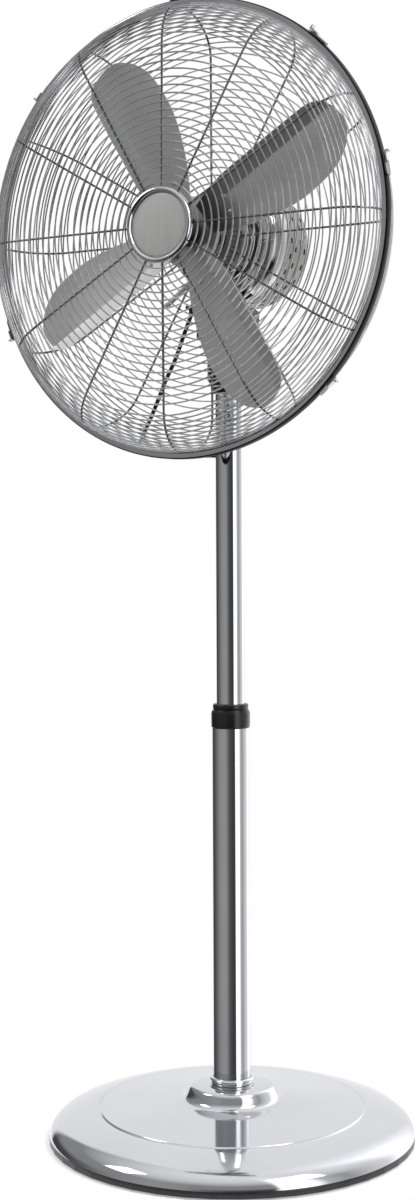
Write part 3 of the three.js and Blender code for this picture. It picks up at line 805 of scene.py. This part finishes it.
def add_foot_ring():
    """The beaded ring between the pole and the boss."""
    inside = SOCKET_RADIUS
    profile = [
        (inside, 0.0565), (0.0206, 0.0565), (0.0209, 0.0570), (0.0210, 0.0580), (0.0207, 0.0588),
        (0.0210, 0.0592), (0.0222, 0.0597), (0.0227, 0.0605), (0.0227, 0.0614), (0.0221, 0.0622),
        (0.0212, 0.0627), (0.0204, 0.0630), (inside, 0.0630),
    ]
    smooth(new_object("foot_ring", lathe(profile, 96), CHROME, "base", ["tube_foot_ring"]))


add_foot_ring()


def add_collar():
    """The locking collar: a wide lower step, a groove and a narrower upper step."""
    inside = 0.0146
    profile = [
        (inside, 0.4173), (0.0190, 0.4173), (0.0194, 0.4177), (0.01955, 0.4190), (0.0196, 0.4312),
        (0.0193, 0.4326), (0.0187, 0.4344), (0.0175, 0.4346), (0.0173, 0.4350), (0.0176, 0.4356),
        (0.0179, 0.4362), (0.0179, 0.4396), (0.0176, 0.4404), (0.0170, 0.4409), (inside, 0.4409),
    ]
    mesh = lathe(profile, 96)
    smooth(new_object("locking_collar", mesh, BLACK, "collar", ["height_collar"]))


add_collar()


# ---------------------------------------------------------------- floor, light and world
FLOOR_RADIUS = 0.215


def add_stage():
    """A pale round floor, no wider than it takes to carry the base's shadow."""
    bm = bmesh.new()
    bmesh.ops.create_circle(bm, cap_ends=True, segments=96, radius=FLOOR_RADIUS)
    floor = new_object("floor", bm, [], None)
    n = Nodes("floor_paint")
    n.link(n.ramp(n.noise(3, 2), [(0.3, 0.90), (0.7, 0.93)]), n.shader.inputs["Base Color"])
    n.shader.inputs["Roughness"].default_value = 0.8
    n.shader.inputs["Emission Color"].default_value = (1, 1, 1, 1)
    n.shader.inputs["Emission Strength"].default_value = 0.35
    floor.data.materials.append(n.material)


add_stage()


def add_light(name, place, target, size, power):
    """A square lamp at the place, facing the target, with its power in watts."""
    data = bpy.data.lights.new(name, "AREA")
    data.shape = "RECTANGLE"
    data.size = data.size_y = size
    data.energy = power
    light = bpy.data.objects.new(name, data)
    direction = Vector(target) - Vector(place)
    light.matrix_world = Matrix.Translation(place) @ direction.to_track_quat("-Z", "Y").to_matrix().to_4x4()
    bpy.context.scene.collection.objects.link(light)


add_light("key", place=(1.9, -0.2, 2.6), target=(0, 0, 0.6), size=1.2, power=18)
add_light("fill", place=(-1.8, -1.2, 2.2), target=(0, 0, 0.7), size=0.9, power=10)


WALL_BANDS = [  # degrees round from the viewer toward the picture's right, and the wall's tone there
    (-180, 1.0), (-152, 1.0), (-146, 0.07), (-122, 0.08), (-100, 0.17), (-74, 0.32), (-50, 0.37),
    (-30, 0.35), (-16, 0.16), (-4, 0.09), (12, 0.06), (25, 0.06), (29, 1.9), (49, 1.9), (59, 0.62),
    (74, 0.42), (88, 0.70), (108, 0.95), (128, 1.9), (156, 1.0), (180, 1.0),
]
ROOM_STRENGTH = 2  # tones are stored divided by this, because a ramp's colours end at 1


def add_world():
    """A white studio with darker walls on the camera's side, which polished metal shows as bands."""
    world = bpy.data.worlds.new("studio")
    bpy.context.scene.world = world
    world.use_nodes = True
    tree = world.node_tree
    new, link = tree.nodes.new, tree.links.new

    def spread(value, low, high, start=0.0):
        """Goes from start to 1 as the value goes from low to high."""
        node = new("ShaderNodeMapRange")
        node.inputs["From Min"].default_value = low
        node.inputs["From Max"].default_value = high
        node.inputs["To Min"].default_value = start
        link(value, node.inputs["Value"])
        return node.outputs["Result"]

    def toward(source, color, share, blend="MIX"):
        """The source, mixed toward the colour by the share."""
        node = new("ShaderNodeMix")
        node.data_type = "RGBA"
        node.blend_type = blend
        node.inputs["B"].default_value = (*color, 1)
        link(share, node.inputs["Factor"])
        link(source, node.inputs["A"])
        return node.outputs["Result"]

    direction = new("ShaderNodeTexCoord").outputs["Generated"]
    west, north = math.sin(CAMERA_FACING), math.cos(CAMERA_FACING)
    parts = []  # how far a direction lies to the right, and how far toward the viewer
    for axis in ((north, west, 0), (west, -north, 0)):
        dot = new("ShaderNodeVectorMath")
        dot.operation = "DOT_PRODUCT"
        dot.inputs[1].default_value = axis
        link(direction, dot.inputs[0])
        parts.append(dot.outputs["Value"])
    right, nearness = parts
    angle = new("ShaderNodeMath")
    angle.operation = "ARCTAN2"
    link(right, angle.inputs[0])
    link(nearness, angle.inputs[1])

    bands = new("ShaderNodeValToRGB")
    elements = bands.color_ramp.elements
    while len(elements) < len(WALL_BANDS):
        elements.new(0.5)
    for element, (degrees, tone) in zip(elements, WALL_BANDS):
        level = tone / ROOM_STRENGTH
        element.position = (degrees + 180) / 360
        element.color = (level, level, level * 1.01, 1)
    link(spread(angle.outputs[0], -math.pi, math.pi), bands.inputs["Fac"])

    split = new("ShaderNodeSeparateXYZ")
    link(direction, split.inputs[0])
    height = split.outputs["Z"]
    gain = new("ShaderNodeMix")  # the room is dark downward, but only on the camera's side
    gain.inputs["A"].default_value = 1
    link(spread(nearness, 0, 0.3), gain.inputs["Factor"])
    link(spread(height, -0.48, -0.30, start=0.04), gain.inputs["B"])
    dim = new("ShaderNodeVectorMath")
    dim.operation = "SCALE"
    link(bands.outputs["Color"], dim.inputs[0])
    link(gain.outputs["Result"], dim.inputs["Scale"])

    # at least mid grey above the walls' foot, plain white overhead, and plain white to direct sight
    walls = toward(dim.outputs["Vector"], (0.16, 0.16, 0.165), spread(height, 0.10, 0.30), "LIGHTEN")
    room = toward(walls, (0.5, 0.5, 0.505), spread(height, 0.55, 0.99))
    seen = toward(room, (0.5, 0.5, 0.5), new("ShaderNodeLightPath").outputs["Is Camera Ray"])
    background = tree.nodes["Background"]
    background.inputs["Strength"].default_value = ROOM_STRENGTH
    link(seen, background.inputs["Color"])


add_world()
bpy.context.scene.view_settings.view_transform = "Standard"
